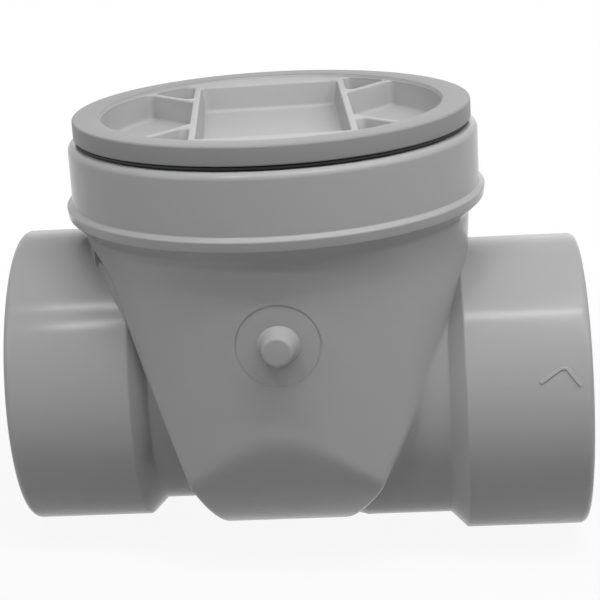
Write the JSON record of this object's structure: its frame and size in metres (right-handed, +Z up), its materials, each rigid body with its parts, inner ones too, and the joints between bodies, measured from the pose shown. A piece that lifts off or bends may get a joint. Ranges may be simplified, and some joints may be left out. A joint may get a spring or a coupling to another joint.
{
  "type": "backwater valve",
  "caption": "Grey moulded backwater valve for drain pipe: two socket ends, a chamber with an inclined seat and swinging flapper, and a round screw cap on top.",
  "frame": {"origin": "bottom centre of the object's box, under the lower edge of the outlet hub", "axes": "+X with the flow from inlet socket to outlet socket, +Z up along the chamber and cap axis"},
  "size_m": [0.243, 0.18, 0.1926],
  "materials": {
    "body_plastic": "satin moulded PVC",
    "cap_plastic": "satin moulded PVC",
    "gate_plastic": "satin moulded PVC",
    "seat_plastic": "smooth machined face",
    "bush_plastic": "plain acetal",
    "ring_rubber": "matte black rubber",
    "seal_rubber": "matte black rubber",
    "fixing_steel": "plain stainless steel"
  },
  "bodies": {
    "valve": {"valve_body": "body_plastic", "seat_ring": "seat_plastic", "hinge_bracket": "gate_plastic", "bracket_screw_left": "fixing_steel", "bracket_screw_right": "fixing_steel", "hinge_pin": "fixing_steel", "hinge_bush_left": "bush_plastic", "hinge_bush_right": "bush_plastic", "pin_clip_left": "fixing_steel", "pin_clip_right": "fixing_steel"},
    "gate": {"flapper": "gate_plastic", "flapper_seal": "seal_rubber", "seal_retainer": "gate_plastic", "retainer_screw_1": "fixing_steel", "retainer_screw_2": "fixing_steel", "retainer_screw_3": "fixing_steel", "retainer_screw_4": "fixing_steel", "retainer_screw_5": "fixing_steel", "retainer_screw_6": "fixing_steel"},
    "cap_ring": {"cap_o_ring": "ring_rubber"},
    "cap": {"access_cap": "cap_plastic"}
  },
  "joints": [
    {"name": "flapper_swing", "type": "hinge", "parent": "valve", "child": "gate", "pos_m": [-0.06123, 0, 0.14189], "axis": [0, -1, 0], "range_deg": [0, 72]},
    {"name": "cap_lift", "type": "slide", "parent": "valve", "child": "cap_ring", "axis": [0, 0, 1], "range_m": [0, 0.018]},
    {"name": "cap_spin", "type": "hinge", "parent": "cap_ring", "child": "cap", "pos_m": [-0.0078, 0, 0.1876], "axis": [0, 0, 1], "range_deg": [0, 1080]}
  ],
  "couplings": [
    {"joint": "cap_lift", "follows": "cap_spin", "m_per_rad": 0.00095493}
  ]
}
